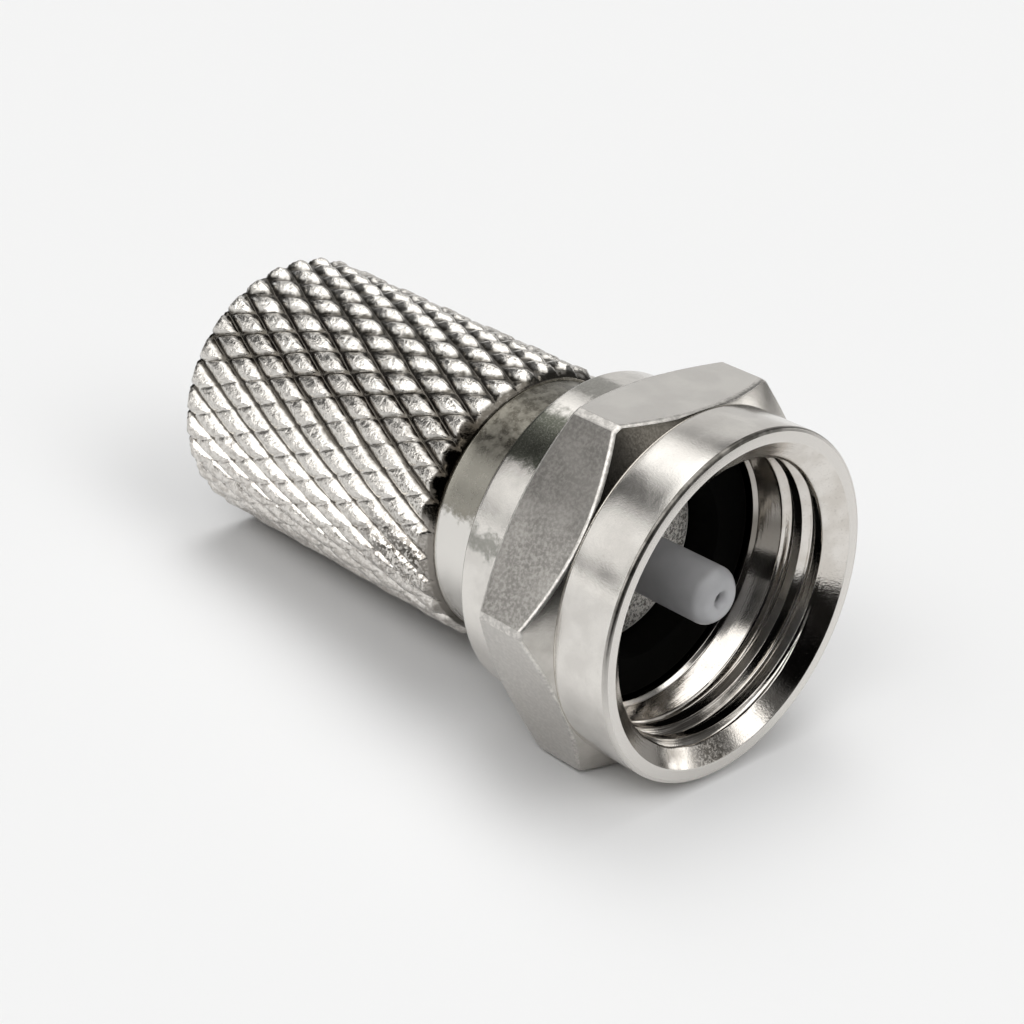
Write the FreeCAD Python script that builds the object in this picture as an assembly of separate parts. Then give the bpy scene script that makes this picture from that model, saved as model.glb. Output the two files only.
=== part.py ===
import FreeCAD, Part
import Mesh
import math
import os

# Coaxial cable connector, screw-on type: a knurled sleeve that is twisted onto
# the cable, a captive hexagon coupling nut that spins on the sleeve's neck, a
# pressed-in ferrule, a sealing ring and a plastic guide for the centre conductor.
#
# Everything is drawn first in the connector's own axis frame: x runs along the
# axis, x = 0 is the nut's front lip and -x is towards the cable. At the end all
# pieces are turned and lifted together to the way the connector lies at rest,
# on one flat of its hexagon and on the rear edge of the sleeve.
# Millimetres, +Z up.

# ---------------------------------------------------------------- dimensions
# coupling nut, outside
lip_r = 5.47            # collar radius, just under the hexagon's flats
lip_bevel = 0.07
hex_af = 11.0           # across flats
hex_turned_r = 6.28     # bar is turned to this before the flats are cut
hex_front = -1.95       # front chamfer starts here at the collar
hex_rear = -4.50        # rear face of the hexagon
front_slope = 0.70      # axial drop per radial mm, front chamfer
chamfer_bulge = 0.01    # both chamfers are very slightly round
rear_slope = 0.52       # the same for the rear chamfer
shoulder_r = 5.12       # round shoulder behind the hexagon
shoulder_rear = -6.20
shoulder_bevel = 0.20

# coupling nut, inside
mouth_r = 5.04          # inner edge of the lip
thread_r = 4.38         # crests of the inside thread, 3/8 inch - 32 size
thread_front = -0.50
thread_rear = -2.10
relief_r = 4.76         # smooth run-out behind the thread, a cone that narrows inwards
relief_front = -2.20
relief_rear = -2.98
relief_rear_r = 4.38
ridge_r = 4.30          # narrow ridge in front of the seal
ridge_front = -3.02
ridge_rear = -3.24
cavity_r = 4.36         # room for the seal and the ferrule's flange
web_front = -5.30       # thin web that holds the nut captive
web_bore_r = 3.68

# knurled sleeve
journal_r = 3.60        # the nut's web turns on this
journal_front = -5.20
neck_front = -6.30
neck_r = 4.05
sleeve_front = -8.26
sleeve_rear = -19.80
crest_r = 4.50          # tips of the diamond knurl
root_r = 4.24           # bottom of the knurl's grooves
front_bevel = 0.42
rear_bevel = 0.20
knurl_starts = 30       # grooves each way round
knurl_half_pitch = 0.98636   # along the axis, from one ring of tips to the next
knurl_phase = 0.0       # degrees
cable_bore_r = 3.40
cable_bore_front = -10.30
cable_mouth_bevel = 0.22

# ferrule, pressed into the sleeve
boss_r = 2.86           # raised disc seen in the bottom of the nut
boss_front = -4.41
flange_r = 4.20
flange_front = -4.62
ferrule_r = 2.90
ferrule_in_r = 2.40     # bore for the cable's dielectric
ferrule_floor = -5.05
guide_seat_r = 2.10     # narrower seat that the guide is pressed into
guide_seat_rear = -6.80

# sealing ring round the ferrule's boss
seal_out_r = 4.20
seal_in_r = 2.90
seal_front = -3.26

# conductor guide
nub_r = 0.90
nub_front = -0.60
nub_bevel_len = 0.34
nub_tip_r = 0.60
hole_r = 0.33
guide_rear = -6.45
funnel_r = 1.70
funnel_front = -5.60

# ---------------------------------------------------------------- helpers
X = FreeCAD.Vector(1, 0, 0)
O = FreeCAD.Vector(0, 0, 0)


def turned(points, bulges=None):
    """Solid of revolution about the x axis from (x, r) points. bulges gives, by
    the number of a side's first point, how far that side's middle stands out."""
    pts = [FreeCAD.Vector(x, 0, r) for x, r in points]
    pts.append(pts[0])
    edges = []
    for i in range(len(pts) - 1):
        a, b = pts[i], pts[i + 1]
        out = (bulges or {}).get(i, 0.0)
        if out:
            d = b - a
            side = FreeCAD.Vector(-d.z, 0, d.x).normalize()
            if side.z < 0:
                side = side * -1
            edges.append(Part.Arc(a, (a + b) * 0.5 + side * out, b).toShape())
        else:
            edges.append(Part.LineSegment(a, b).toShape())
    face = Part.Face(Part.Wire(edges))
    return face.revolve(O, X, 360)


def largest(shape):
    """The one solid of a boolean's result."""
    sol = sorted(shape.Solids, key=lambda s: s.Volume)
    return sol[-1]


# ---------------------------------------------------------------- knurl
def knurl_band(x_front, x_rear):
    """Closed body with a diamond knurl all round: rings of points, tips and
    groove crossings in turn, joined by flat facets along the groove lines."""
    n = 2 * knurl_starts
    step = -knurl_half_pitch
    anchor = sleeve_rear + rear_bevel      # one ring of tips stands here
    k0 = int(math.ceil((x_front - anchor) / knurl_half_pitch))
    k1 = int(math.floor((x_rear - anchor) / knurl_half_pitch))
    rings = list(range(k0, k1 - 1, -1))
    grid = []
    for k in rings:
        ring = []
        for i in range(n):
            a = math.radians(-90.0 + knurl_phase + i * 360.0 / n)
            r = crest_r if (i + k) % 2 == 0 else root_r
            ring.append((anchor + k * knurl_half_pitch, r * math.cos(a), r * math.sin(a)))
        grid.append(ring)
    tri = []
    for j in range(len(grid) - 1):
        k = rings[j]
        for i in range(n):
            i2 = (i + 1) % n
            a, b = grid[j][i], grid[j][i2]
            c, d = grid[j + 1][i2], grid[j + 1][i]
            if (i + k) % 2 == 0:            # a is a tip, so the groove runs b-d
                tri += [(a, d, b), (b, d, c)]
            else:                           # a is a crossing, the groove runs a-c
                tri += [(a, c, b), (a, d, c)]
    for ring, flip in ((grid[0], False), (grid[-1], True)):
        cen = (ring[0][0], 0.0, 0.0)
        for i in range(n):
            p, q = ring[i], ring[(i + 1) % n]
            tri.append((cen, q, p) if flip else (cen, p, q))
    mesh = Mesh.Mesh([[list(p) for p in t] for t in tri])
    shape = Part.Shape()
    shape.makeShapeFromMesh(mesh.Topology, 0.001)
    solid = Part.makeSolid(shape)
    if solid.Volume < 0:
        solid.reverse()
    return solid


# ---------------------------------------------------------------- sleeve
envelope = turned([
    (sleeve_front, 0), (sleeve_front, crest_r + 0.02 - front_bevel),
    (sleeve_front - front_bevel, crest_r + 0.02),
    (sleeve_rear + rear_bevel + 0.02, crest_r + 0.02),
    (sleeve_rear, crest_r - rear_bevel), (sleeve_rear, 0)])
barrel = knurl_band(sleeve_front + 0.4, sleeve_rear - 0.4).common(envelope)
neck = turned([
    (journal_front, 0), (journal_front, journal_r - 0.08),
    (journal_front - 0.08, journal_r), (neck_front, journal_r),
    (neck_front, neck_r - 0.10), (neck_front - 0.10, neck_r),
    (sleeve_front - 0.6, neck_r), (sleeve_front - 0.6, 0)])
bore = turned([
    (journal_front + 1, 0), (journal_front + 1, ferrule_r),
    (cable_bore_front, ferrule_r), (cable_bore_front, cable_bore_r),
    (sleeve_rear + cable_mouth_bevel, cable_bore_r),
    (sleeve_rear - 0.5, cable_bore_r + cable_mouth_bevel + 0.5),
    (sleeve_rear - 0.5, 0)])
knurled_sleeve = largest(barrel.fuse(neck).cut(bore).removeSplitter())

# ---------------------------------------------------------------- ferrule
ferrule = turned([
    (boss_front, nub_r), (boss_front, boss_r - 0.06), (boss_front - 0.06, boss_r),
    (flange_front, boss_r), (flange_front, flange_r - 0.05),
    (flange_front - 0.05, flange_r), (journal_front + 0.05, flange_r),
    (journal_front, flange_r - 0.05), (journal_front, ferrule_r),
    (cable_bore_front, ferrule_r), (cable_bore_front, ferrule_in_r),
    (guide_seat_rear, ferrule_in_r), (guide_seat_rear, guide_seat_r),
    (ferrule_floor, guide_seat_r), (ferrule_floor, nub_r)])

# ---------------------------------------------------------------- sealing ring
sealing_ring = turned([
    (seal_front, seal_in_r + 0.08), (seal_front, seal_out_r - 0.08),
    (seal_front - 0.08, seal_out_r), (flange_front, seal_out_r),
    (flange_front, seal_in_r), (seal_front - 0.08, seal_in_r)])

# ---------------------------------------------------------------- guide
conductor_guide = turned([
    (nub_front - 0.16, hole_r), (nub_front, hole_r + 0.06), (nub_front, nub_tip_r),
    (nub_front - 0.10, nub_tip_r + 0.14), (nub_front - nub_bevel_len, nub_r),
    (ferrule_floor, nub_r), (ferrule_floor, guide_seat_r),
    (guide_rear, guide_seat_r), (guide_rear, funnel_r),
    (funnel_front, hole_r)])

# ---------------------------------------------------------------- coupling nut
prism = Part.makePolygon([FreeCAD.Vector(hex_front + 0.5, hex_af / math.sqrt(3) * math.cos(math.radians(60 * i)),
                                         hex_af / math.sqrt(3) * math.sin(math.radians(60 * i)))
                          for i in range(7)])
prism = Part.Face(prism).extrude(FreeCAD.Vector(hex_rear - hex_front - 0.5, 0, 0))
top = hex_turned_r + 0.4
hex_env = turned([
    (hex_front, 0), (hex_front, lip_r), (hex_front - front_slope * (hex_turned_r - lip_r), hex_turned_r),
    (hex_rear + rear_slope * (hex_turned_r - lip_r), hex_turned_r), (hex_rear, lip_r), (hex_rear, 0)],
    {1: chamfer_bulge, 3: chamfer_bulge})
hexagon = prism.common(hex_env)
rounds = turned([
    (0, 0), (0, lip_r - lip_bevel), (-lip_bevel, lip_r), (hex_front - 0.3, lip_r),
    (hex_front - 0.3, shoulder_r), (shoulder_rear + shoulder_bevel, shoulder_r),
    (shoulder_rear, shoulder_r - shoulder_bevel), (shoulder_rear, 0)])
inside = turned([
    (1, 0), (1, mouth_r), (0, mouth_r), (thread_front, thread_r), (thread_rear, thread_r),
    (relief_front, relief_r), (relief_rear, relief_rear_r),
    (ridge_front, ridge_r), (ridge_rear, ridge_r), (ridge_rear - 0.04, cavity_r),
    (web_front, cavity_r), (web_front, web_bore_r), (shoulder_rear - 1, web_bore_r),
    (shoulder_rear - 1, 0)])
coupling_nut = largest(hexagon.fuse(rounds).cut(inside).removeSplitter())

# ---------------------------------------------------------------- lie at rest
# It rests on the rear edge of the hexagon's bottom flat and on the knurl's tips
# at the sleeve's rear edge, so its front is raised by a few degrees.
contact_rear_x = sleeve_rear + rear_bevel
flat_half = hex_af / 2.0
hex_rest_x = hex_rear + rear_slope * (flat_half - lip_r)
rest_tilt = math.degrees(math.atan((flat_half - crest_r) / (hex_rest_x - contact_rear_x)))
pieces = {
    "knurled_sleeve": knurled_sleeve,
    "ferrule": ferrule,
    "sealing_ring": sealing_ring,
    "conductor_guide": conductor_guide,
    "coupling_nut": coupling_nut,
}
t = math.radians(rest_tilt)
low = -flat_half * math.cos(t) + hex_rest_x * math.sin(t)
front_end = lip_r * math.sin(t)                                              # lower edge of the front lip
rear_end = sleeve_rear * math.cos(t) - (crest_r - rear_bevel) * math.sin(t)  # upper edge of the sleeve's rear face
mid_x = 0.5 * (rear_end + front_end)
place = FreeCAD.Placement(FreeCAD.Vector(-mid_x, 0, -low), FreeCAD.Rotation(FreeCAD.Vector(0, 1, 0), -rest_tilt))

os.makedirs("parts", exist_ok=True)
for name, shape in pieces.items():
    s = shape.copy()
    s.Placement = place.multiply(s.Placement)
    bb = s.BoundBox
    print(name, "valid", s.isValid(), "solids", len(s.Solids), "faces", len(s.Faces),
          "vol %.2f" % s.Volume,
          "box x %.3f..%.3f y %.3f..%.3f z %.3f..%.3f" % (bb.XMin, bb.XMax, bb.YMin, bb.YMax, bb.ZMin, bb.ZMax))
    s.exportStep("parts/%s.step" % name)
print("rest tilt %.4f deg, axis point at x=0: (%.4f, 0, %.4f)" % (rest_tilt, -mid_x, -low))
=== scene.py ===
import math

import bmesh
import bpy
import numpy as np
from mathutils import Matrix, Vector


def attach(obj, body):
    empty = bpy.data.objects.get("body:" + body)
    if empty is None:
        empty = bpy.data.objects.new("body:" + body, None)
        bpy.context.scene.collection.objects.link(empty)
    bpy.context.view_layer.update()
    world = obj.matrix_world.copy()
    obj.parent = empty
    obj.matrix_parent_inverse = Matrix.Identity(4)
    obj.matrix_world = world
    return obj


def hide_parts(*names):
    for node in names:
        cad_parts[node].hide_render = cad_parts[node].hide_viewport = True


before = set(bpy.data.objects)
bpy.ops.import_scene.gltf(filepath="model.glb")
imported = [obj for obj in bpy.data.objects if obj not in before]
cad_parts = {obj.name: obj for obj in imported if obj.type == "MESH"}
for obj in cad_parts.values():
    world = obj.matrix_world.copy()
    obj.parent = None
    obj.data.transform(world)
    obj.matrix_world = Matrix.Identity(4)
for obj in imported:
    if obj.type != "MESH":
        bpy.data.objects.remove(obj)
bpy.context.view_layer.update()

# ------------------------------------------------------------------ axis frame
# Every piece is drawn in millimetres in the connector's own axis frame: x along
# the axis, x = 0 at the nut's front lip, -x towards the cable. TILT and SHIFT
# take it to the row frame, where the connector lies on a flat of its hexagon.
TILT = math.radians(3.7850)
SHIFT = (9.8398, 0.0, 5.7840)
CT, ST = math.cos(TILT), math.sin(TILT)
MM = 0.001


def to_row(p):
    """(..., 3) points in mm in the axis frame to metres in the row frame."""
    p = np.asarray(p, float)
    x, y, z = p[..., 0], p[..., 1], p[..., 2]
    return np.stack([(x * CT - z * ST + SHIFT[0]) * MM, y * MM,
                     (x * ST + z * CT + SHIFT[2]) * MM], -1)


def ring_points(x, r, a):
    """x, r arrays and the angle a (radians, from +Y towards +Z) to points."""
    return np.stack([np.broadcast_to(x, np.broadcast(x, r, a).shape), r * np.cos(a), r * np.sin(a)], -1)


def smooth01(t):
    t = np.clip(t, 0.0, 1.0)
    return t * t * (3 - 2 * t)


def cell_noise(seed, shape):
    return np.random.RandomState(seed).uniform(-1.0, 1.0, shape)


# ------------------------------------------------------------------ mesh tools
class Builder:
    """Collects vertices and faces, merges the points that fall together, and
    makes one closed smooth mesh."""

    def __init__(self):
        self.v, self.f, self.m, self.n = [], [], [], 0

    def add(self, pts):
        pts = np.asarray(pts, float).reshape(-1, 3)
        start = self.n
        self.v.append(pts)
        self.n += len(pts)
        return start

    def grid(self, pts, mats, wrap=True):
        """pts (rows, cols, 3). mats: one material number for each strip between
        two rows, or an array (rows - 1, cols). wrap joins the last column to the first."""
        rows, cols = pts.shape[:2]
        start = self.add(pts)
        idx = start + np.arange(rows * cols).reshape(rows, cols)
        if wrap:
            nxt = np.roll(idx, -1, 1)
        else:
            nxt = idx[:, 1:]
            idx = idx[:, :-1]
        a, b, c, d = idx[:-1], nxt[:-1], nxt[1:], idx[1:]
        quads = np.stack([a, b, c, d], -1)
        mats = np.asarray(mats)
        if mats.ndim < 2:
            mats = np.broadcast_to(mats.reshape(-1, 1) if mats.ndim else mats, quads.shape[:2])
        self.f += [tuple(q) for q in quads.reshape(-1, 4).tolist()]
        self.m += mats.reshape(-1).tolist()
        return start

    def mesh(self, name, flip=False):
        v = np.concatenate(self.v)
        key = np.round(v / 2e-4).astype(np.int64)
        _, first, inv = np.unique(key, axis=0, return_index=True, return_inverse=True)
        inv = np.asarray(inv).reshape(-1)
        faces, mats = [], []
        for f, m in zip(self.f, self.m):
            g = []
            for i in f:
                j = int(inv[i])
                if not g or g[-1] != j:
                    g.append(j)
            if len(g) > 1 and g[0] == g[-1]:
                g.pop()
            if len(g) >= 3 and len(set(g)) == len(g):
                faces.append(g[::-1] if flip else g)
                mats.append(m)
        me = bpy.data.meshes.new(name)
        me.from_pydata(to_row(v[first]).tolist(), [], faces)
        me.update()
        me.polygons.foreach_set("material_index", mats)
        me.polygons.foreach_set("use_smooth", [True] * len(me.polygons))
        me.validate()
        bm = bmesh.new()
        bm.from_mesh(me)
        bmesh.ops.recalc_face_normals(bm, faces=bm.faces[:])
        bm.to_mesh(me)
        bm.free()
        me.update()
        return me


def piece(name, me, materials, body, node, weighted=True):
    ob = bpy.data.objects.new(name, me)
    bpy.context.scene.collection.objects.link(ob)
    for m in materials:
        me.materials.append(m)
    if weighted:
        w = ob.modifiers.new("weighted", "WEIGHTED_NORMAL")
        w.mode = "FACE_AREA"
        w.weight = 50
        w.keep_sharp = True
    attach(ob, body)
    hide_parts(node)
    return ob


def rounded(corners, seg=3):
    """corners: list of (x, r, cut) where x and r are numbers or arrays over the
    columns. Open line; each corner with a cut becomes a small arc. Returns rows of
    (x, r) and, for each row, the number of the corner it came from."""
    cols = 1
    for x, r, _ in corners:
        cols = max(cols, np.size(x), np.size(r))
    pts = [np.stack([np.broadcast_to(np.asarray(x, float), (cols,)),
                     np.broadcast_to(np.asarray(r, float), (cols,))], -1) for x, r, _ in corners]
    rows, tags = [], []
    for i, (_, _, cut) in enumerate(corners):
        p = pts[i]
        if not cut or i in (0, len(corners) - 1):
            rows.append(p)
            tags.append(i)
            continue
        a, b = pts[i - 1] - p, pts[i + 1] - p
        la = np.linalg.norm(a, axis=1, keepdims=True)
        lb = np.linalg.norm(b, axis=1, keepdims=True)
        da = a / np.maximum(la, 1e-9) * np.minimum(cut, 0.45 * la)
        db = b / np.maximum(lb, 1e-9) * np.minimum(cut, 0.45 * lb)
        for k in range(seg + 1):
            t = k / seg
            rows.append(p + (1 - t) ** 2 * da + t ** 2 * db)
            tags.append(i)
    return rows, tags


def turned_piece(name, corners, cols, mats_of, materials, body, node, close=True):
    """A turned piece from a closed list of corners."""
    loop = list(corners) + [corners[0], corners[1]]
    rows, tags = rounded(loop)
    # start at the end of the first corner's arc, so that the loop closes on itself
    n0 = 4 if corners[0][2] else 1
    keep = [k for k, t in enumerate(tags) if 1 <= t <= len(corners)]
    rows = [rows[k] for k in keep]
    tags = [tags[k] % len(corners) for k in keep]
    rows.append(rows[0])
    tags.append(tags[0])
    a = np.linspace(0, 2 * math.pi, cols, endpoint=False)
    out, mats, prev = [], [], None
    for k, (row, tag) in enumerate(zip(rows, tags)):
        x, r = row[0, 0], row[0, 1]
        out.append((x, r))
    # long straight sides get a few rows of their own, for even shading
    xs, tg = [out[0]], []
    for k in range(1, len(out)):
        (x0, r0), (x1, r1) = out[k - 1], out[k]
        parts = max(1, min(12, int(math.hypot(x1 - x0, r1 - r0) / 0.45)))
        for q in range(1, parts + 1):
            xs.append((x0 + (x1 - x0) * q / parts, r0 + (r1 - r0) * q / parts))
            tg.append(mats_of(tags[k - 1], tags[k]))
    b = Builder()
    xs = np.array(xs)
    pts = ring_points(xs[:, 0:1], xs[:, 1:2], a[None, :])
    b.grid(pts, np.array(tg))
    return piece(name, b.mesh(name), materials, body, node)


# ------------------------------------------------------------------ node tools
class Nodes:
    def __init__(self, tree):
        self.t = tree

    def new(self, kind, **props):
        n = self.t.nodes.new(kind)
        for k, v in props.items():
            setattr(n, k, v)
        return n

    def put(self, node, socket, value):
        s = node.inputs[socket]
        if isinstance(value, bpy.types.NodeSocket):
            self.t.links.new(value, s)
        elif value is not None:
            s.default_value = value

    def math(self, op, a, b=None, c=None, clamp=False):
        n = self.new("ShaderNodeMath", operation=op, use_clamp=clamp)
        for i, v in enumerate((a, b, c)):
            if v is not None:
                self.put(n, i, v)
        return n.outputs[0]

    def ramp(self, v, lo, hi, a=0.0, b=1.0, smooth=True):
        n = self.new("ShaderNodeMapRange", interpolation_type="SMOOTHSTEP" if smooth else "LINEAR")
        for k, x in zip(("Value", "From Min", "From Max", "To Min", "To Max"), (v, lo, hi, a, b)):
            self.put(n, k, x)
        return n.outputs["Result"]

    def noise(self, vec, scale, detail=3.0, rough=0.5, distortion=0.0):
        n = self.new("ShaderNodeTexNoise")
        self.put(n, "Vector", vec)
        self.put(n, "Scale", scale)
        self.put(n, "Detail", detail)
        self.put(n, "Roughness", rough)
        self.put(n, "Distortion", distortion)
        return n.outputs["Fac"]

    def vector(self, x, y, z):
        n = self.new("ShaderNodeCombineXYZ")
        for i, v in enumerate((x, y, z)):
            self.put(n, i, v)
        return n.outputs[0]

    def mix(self, fac, a, b, blend="MIX"):
        n = self.new("ShaderNodeMix", data_type="RGBA", blend_type=blend)
        self.put(n, "Factor", fac)
        self.put(n, 6, a)
        self.put(n, 7, b)
        return n.outputs[2]

    def mixf(self, fac, a, b):
        n = self.new("ShaderNodeMix", data_type="FLOAT")
        self.put(n, "Factor", fac)
        self.put(n, 2, a)
        self.put(n, 3, b)
        return n.outputs[0]

    def band(self, v, centre, half, soft):
        """1 near centre, 0 outside."""
        return self.ramp(self.math("ABSOLUTE", self.math("SUBTRACT", v, centre)), half - soft, half + soft, 1.0, 0.0)

    def bump(self, height, distance, strength=1.0, normal=None):
        n = self.new("ShaderNodeBump")
        self.put(n, "Height", height)
        self.put(n, "Distance", distance)
        self.put(n, "Strength", strength)
        if normal is not None:
            self.put(n, "Normal", normal)
        return n.outputs["Normal"]


def material(name, **sockets):
    m = bpy.data.materials.new(name)
    m.use_nodes = True
    t = m.node_tree
    t.nodes.clear()
    n = Nodes(t)
    out = n.new("ShaderNodeOutputMaterial")
    bsdf = n.new("ShaderNodeBsdfPrincipled")
    t.links.new(bsdf.outputs[0], out.inputs[0])
    for k, v in sockets.items():
        n.put(bsdf, k.replace("_", " "), v)
    return m, n, bsdf


def axis_coords(n):
    """Axis-frame millimetres inside a material: the vector, x, radius and angle."""
    tc = n.new("ShaderNodeTexCoord")
    mp = n.new("ShaderNodeMapping", vector_type="TEXTURE")
    n.put(mp, "Vector", tc.outputs["Object"])
    mp.inputs["Location"].default_value = (SHIFT[0] * MM, 0.0, SHIFT[2] * MM)
    mp.inputs["Rotation"].default_value = (0.0, -TILT, 0.0)
    mp.inputs["Scale"].default_value = (MM, MM, MM)
    v = mp.outputs[0]
    s = n.new("ShaderNodeSeparateXYZ")
    n.put(s, 0, v)
    x, y, z = s.outputs
    r = n.math("SQRT", n.math("ADD", n.math("MULTIPLY", y, y), n.math("MULTIPLY", z, z)))
    a = n.math("ARCTAN2", z, y)
    return v, x, y, z, r, a


def turned_lines(n, x, r, y, z, k, wob=0.06):
    """Noise that runs round the axis like the marks of a turning tool."""
    vec = n.vector(n.math("MULTIPLY", x, k), n.math("MULTIPLY", r, k), n.math("MULTIPLY", n.math("ADD", y, z), wob))
    return n.noise(vec, 1.0, 4.0, 0.55)


# ------------------------------------------------------------------ materials
NICKEL = (0.705, 0.678, 0.640, 1.0)
NICKEL_DIM = (0.52, 0.495, 0.46, 1.0)


def nickel_turned():
    m, n, b = material("nickel_turned", Metallic=1.0)
    v, x, y, z, r, a = axis_coords(n)
    lines = turned_lines(n, x, r, y, z, 14.0)
    grain = n.noise(v, 16.0, 2.0, 0.6)
    cloud = n.noise(v, 0.9, 3.0, 0.55)
    mid = n.noise(v, 3.2, 3.0, 0.6)
    col = n.mix(n.ramp(cloud, 0.35, 0.65), (0.66, 0.635, 0.60, 1), (0.76, 0.735, 0.695, 1))
    col = n.mix(n.math("MULTIPLY", n.ramp(grain, 0.52, 0.75), 0.14), col, (0.38, 0.36, 0.33, 1))
    # painted dark reflections on the shoulder, in bands round it
    wander = n.math("ADD", a, n.math("MULTIPLY", n.math("SUBTRACT", mid, 0.5), 0.22))
    behind = n.ramp(x, -4.60, -4.52, 1.0, 0.0)
    patch = n.math("MAXIMUM", n.band(wander, 2.20, 0.19, 0.06), n.math("MULTIPLY", n.band(wander, 1.71, 0.11, 0.05), 0.60))
    patch = n.math("MAXIMUM", patch, n.math("MULTIPLY", n.band(wander, 2.895, 0.05, 0.04), 0.65))
    patch = n.math("MULTIPLY", n.math("MULTIPLY", patch, behind), n.ramp(grain, 0.25, 0.55, 0.80, 1.0))
    col = n.mix(n.math("MULTIPLY", patch, 0.96), col, (0.090, 0.096, 0.074, 1))
    n.put(b, "Base Color", col)
    n.put(b, "Roughness", n.math("ADD", n.mixf(n.ramp(cloud, 0.3, 0.7), 0.15, 0.22), n.math("MULTIPLY", behind, 0.05)))
    nb = n.bump(lines, 7.0e-7)
    nb = n.bump(grain, n.mixf(behind, 2.0e-6, 3.2e-6), 1.0, nb)
    n.put(b, "Normal", nb)
    return m


def nickel_flat():
    """Hexagon flats. One of them is coarse and matt, with painted shade along its upper part; the others are smoother.
    """
    m, n, b = material("nickel_flat", Metallic=1.0)
    v, x, y, z, r, a = axis_coords(n)
    grain = n.noise(v, 9.0, 3.0, 0.65)
    fine = n.noise(v, 24.0, 2.0, 0.6)
    cloud = n.noise(v, 0.8, 2.0, 0.5)
    coarse = n.band(a, math.radians(150.0), math.radians(29.5), 0.004)
    half = n.band(a, math.radians(-150.0), math.radians(29.5), 0.004)
    half = n.math("MAXIMUM", half, n.band(a, math.radians(30.0), math.radians(29.5), 0.004))
    darker_tone = n.mix(n.ramp(grain, 0.36, 0.68), (0.255, 0.244, 0.228, 1), (0.430, 0.413, 0.388, 1))
    darker_tone = n.mix(n.math("MULTIPLY", n.ramp(cloud, 0.4, 0.62), 0.30), darker_tone, (0.52, 0.50, 0.47, 1))
    # painted shade: the coarse flat is darker towards its upper edge
    upper = n.math("ADD", a, n.math("MULTIPLY", n.math("SUBTRACT", cloud, 0.5), 0.25))
    darker_tone = n.mix(n.ramp(upper, math.radians(140.0), math.radians(160.0), 0.50, 0.0), darker_tone, (0.10, 0.095, 0.088, 1))
    fair = n.mix(n.ramp(cloud, 0.35, 0.65), (0.655, 0.632, 0.600, 1), (0.715, 0.692, 0.655, 1))
    mid = n.mix(n.ramp(grain, 0.40, 0.66), (0.56, 0.538, 0.508, 1), (0.65, 0.626, 0.592, 1))
    col = n.mix(half, fair, mid)
    n.put(b, "Base Color", n.mix(coarse, col, darker_tone))
    n.put(b, "Roughness", n.mixf(coarse, n.mixf(half, 0.24, 0.30), n.mixf(grain, 0.34, 0.46)))
    nb = n.bump(grain, n.mixf(coarse, n.mixf(half, 5.0e-7, 1.6e-6), 4.0e-6))
    nb = n.bump(fine, n.mixf(coarse, 2.5e-7, 1.6e-6), 1.0, nb)
    n.put(b, "Normal", nb)
    return m


def nickel_cone():
    """Chamfers of the hexagon: turned, darker, with a painted dark reflection above."""
    m, n, b = material("nickel_cone", Metallic=1.0)
    v, x, y, z, r, a = axis_coords(n)
    lines = turned_lines(n, x, r, y, z, 18.0)
    cloud = n.noise(v, 1.6, 3.0, 0.6)
    grain = n.noise(v, 13.0, 2.0, 0.6)
    # painted dark reflection on the upper chamfers at the front
    dark = n.band(a, math.radians(116.0), math.radians(30.0), math.radians(9.0))
    dark = n.math("MULTIPLY", dark, n.ramp(x, -4.4, -4.2))
    col = n.mix(n.ramp(cloud, 0.3, 0.7), (0.45, 0.43, 0.395, 1), (0.56, 0.535, 0.50, 1))
    dark_reflection_colour = n.mix(n.ramp(grain, 0.35, 0.65), (0.085, 0.078, 0.066, 1), (0.130, 0.120, 0.104, 1))
    n.put(b, "Base Color", n.mix(dark, col, dark_reflection_colour))
    n.put(b, "Roughness", 0.24)
    n.put(b, "Normal", n.bump(grain, 1.5e-6, 1.0, n.bump(lines, 8.0e-7)))
    return m


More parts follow.
